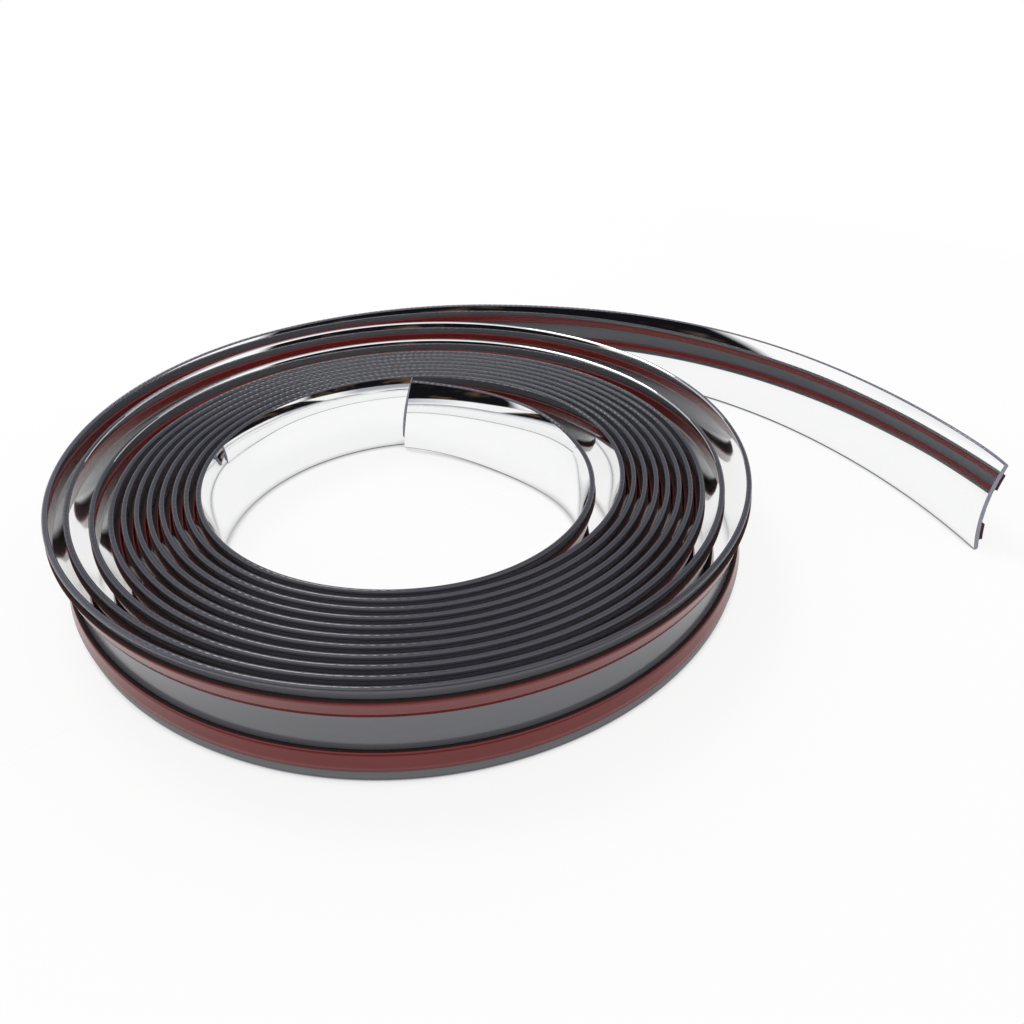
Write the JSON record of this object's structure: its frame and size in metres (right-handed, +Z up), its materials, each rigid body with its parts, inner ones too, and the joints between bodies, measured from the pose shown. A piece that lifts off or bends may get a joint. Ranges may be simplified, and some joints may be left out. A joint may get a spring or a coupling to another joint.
{
  "type": "self-adhesive trim strip coil",
  "caption": "Loose coil of flexible crowned trim strip with a mirror-bright face and two foam mounting tapes under peel-off liners, one end trailing free.",
  "frame": {"origin": "the coil's axis at the floor that it stands on", "axes": "+Z up along the coil's axis, across the strip; +X toward the side on which the tail ends"},
  "size_m": [0.2524, 0.1969, 0.025],
  "materials": {
    "chromed_plastic": "extruded dark grey plastic, bright metallised on its crowned face and rims",
    "foam": "matt black closed-cell foam, sliced edges",
    "liner": "smooth dark red film"
  },
  "bodies": {
    "root": {"trim_strip": "chromed_plastic", "foam_tape_upper": "foam", "foam_tape_lower": "foam", "release_liner_upper": "liner", "release_liner_lower": "liner"}
  },
  "joints": []
}
